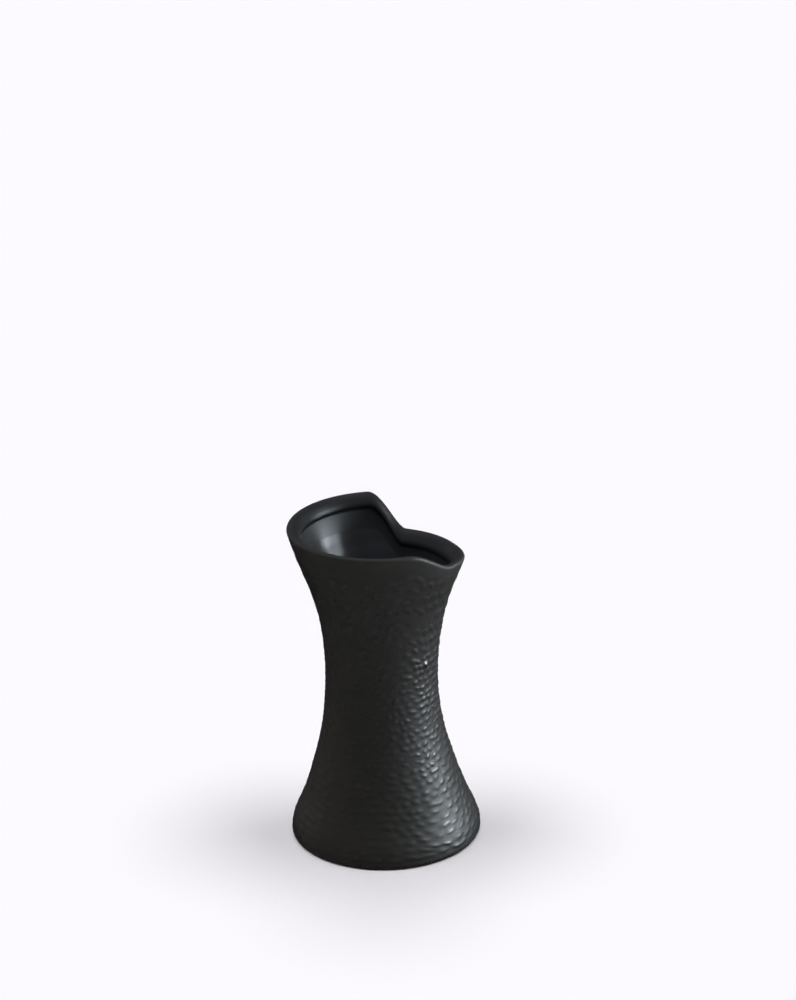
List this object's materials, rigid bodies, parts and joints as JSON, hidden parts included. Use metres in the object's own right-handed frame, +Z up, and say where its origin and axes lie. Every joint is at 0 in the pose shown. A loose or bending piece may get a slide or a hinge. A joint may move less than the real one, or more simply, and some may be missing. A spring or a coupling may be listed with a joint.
{
  "type": "stoneware vase",
  "caption": "Waisted stoneware vase with a wide foot, a textured wall, a flared open mouth and a rim that swoops low on one side.",
  "frame": {"origin": "centre of the face that the vase stands on, on the axis of the foot", "axes": "+Z up along the vase's axis; -Y is the front; the low stretch of the rim is on +X, round to the back"},
  "size_m": [0.1014, 0.1014, 0.175],
  "materials": {
    "bare_clay": "matte",
    "dry_black_glaze": "matte",
    "satin_black_glaze": "satin",
    "gloss_black_glaze": "gloss"
  },
  "bodies": {
    "root": {"foot_ring": "bare_clay", "floor_slab": "bare_clay", "corner_coil": "bare_clay", "wall": "bare_clay", "rim_lip": "bare_clay", "outer_glaze": "dry_black_glaze", "lip_glaze": "satin_black_glaze", "liner_glaze": "gloss_black_glaze"}
  },
  "joints": []
}
